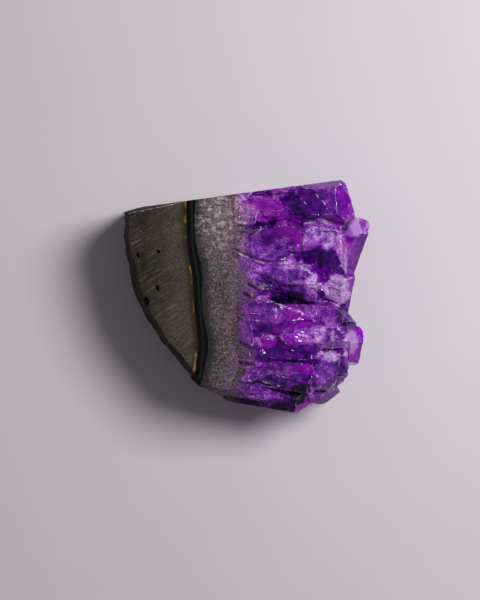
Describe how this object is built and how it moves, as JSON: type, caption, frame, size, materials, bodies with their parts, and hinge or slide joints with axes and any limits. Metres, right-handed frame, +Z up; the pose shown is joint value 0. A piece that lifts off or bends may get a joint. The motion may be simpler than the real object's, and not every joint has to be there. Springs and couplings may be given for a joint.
{
  "type": "amethyst cluster",
  "caption": "Chunk sawn from a geode wall: basalt, a dark rim, grey quartz and fused purple crystals, with flat sawn faces above, below and behind.",
  "frame": {"origin": "on the resting surface, under the middle of the whole cluster", "axes": "+X along the growth of the crystals, from the basalt to their points; +Y towards the sawn back; +Z up out of the sawn upper face"},
  "size_m": [0.0626, 0.0588, 0.0271],
  "materials": {
    "basalt": "rough sawn",
    "dark_rim": "sawn",
    "grey_quartz": "rough sawn",
    "amethyst": "vitreous, see-through"
  },
  "bodies": {
    "root": {"basalt_matrix": "basalt", "dark_rim": "dark_rim", "quartz_band": "grey_quartz", "amethyst_crystals": "amethyst"}
  },
  "joints": []
}
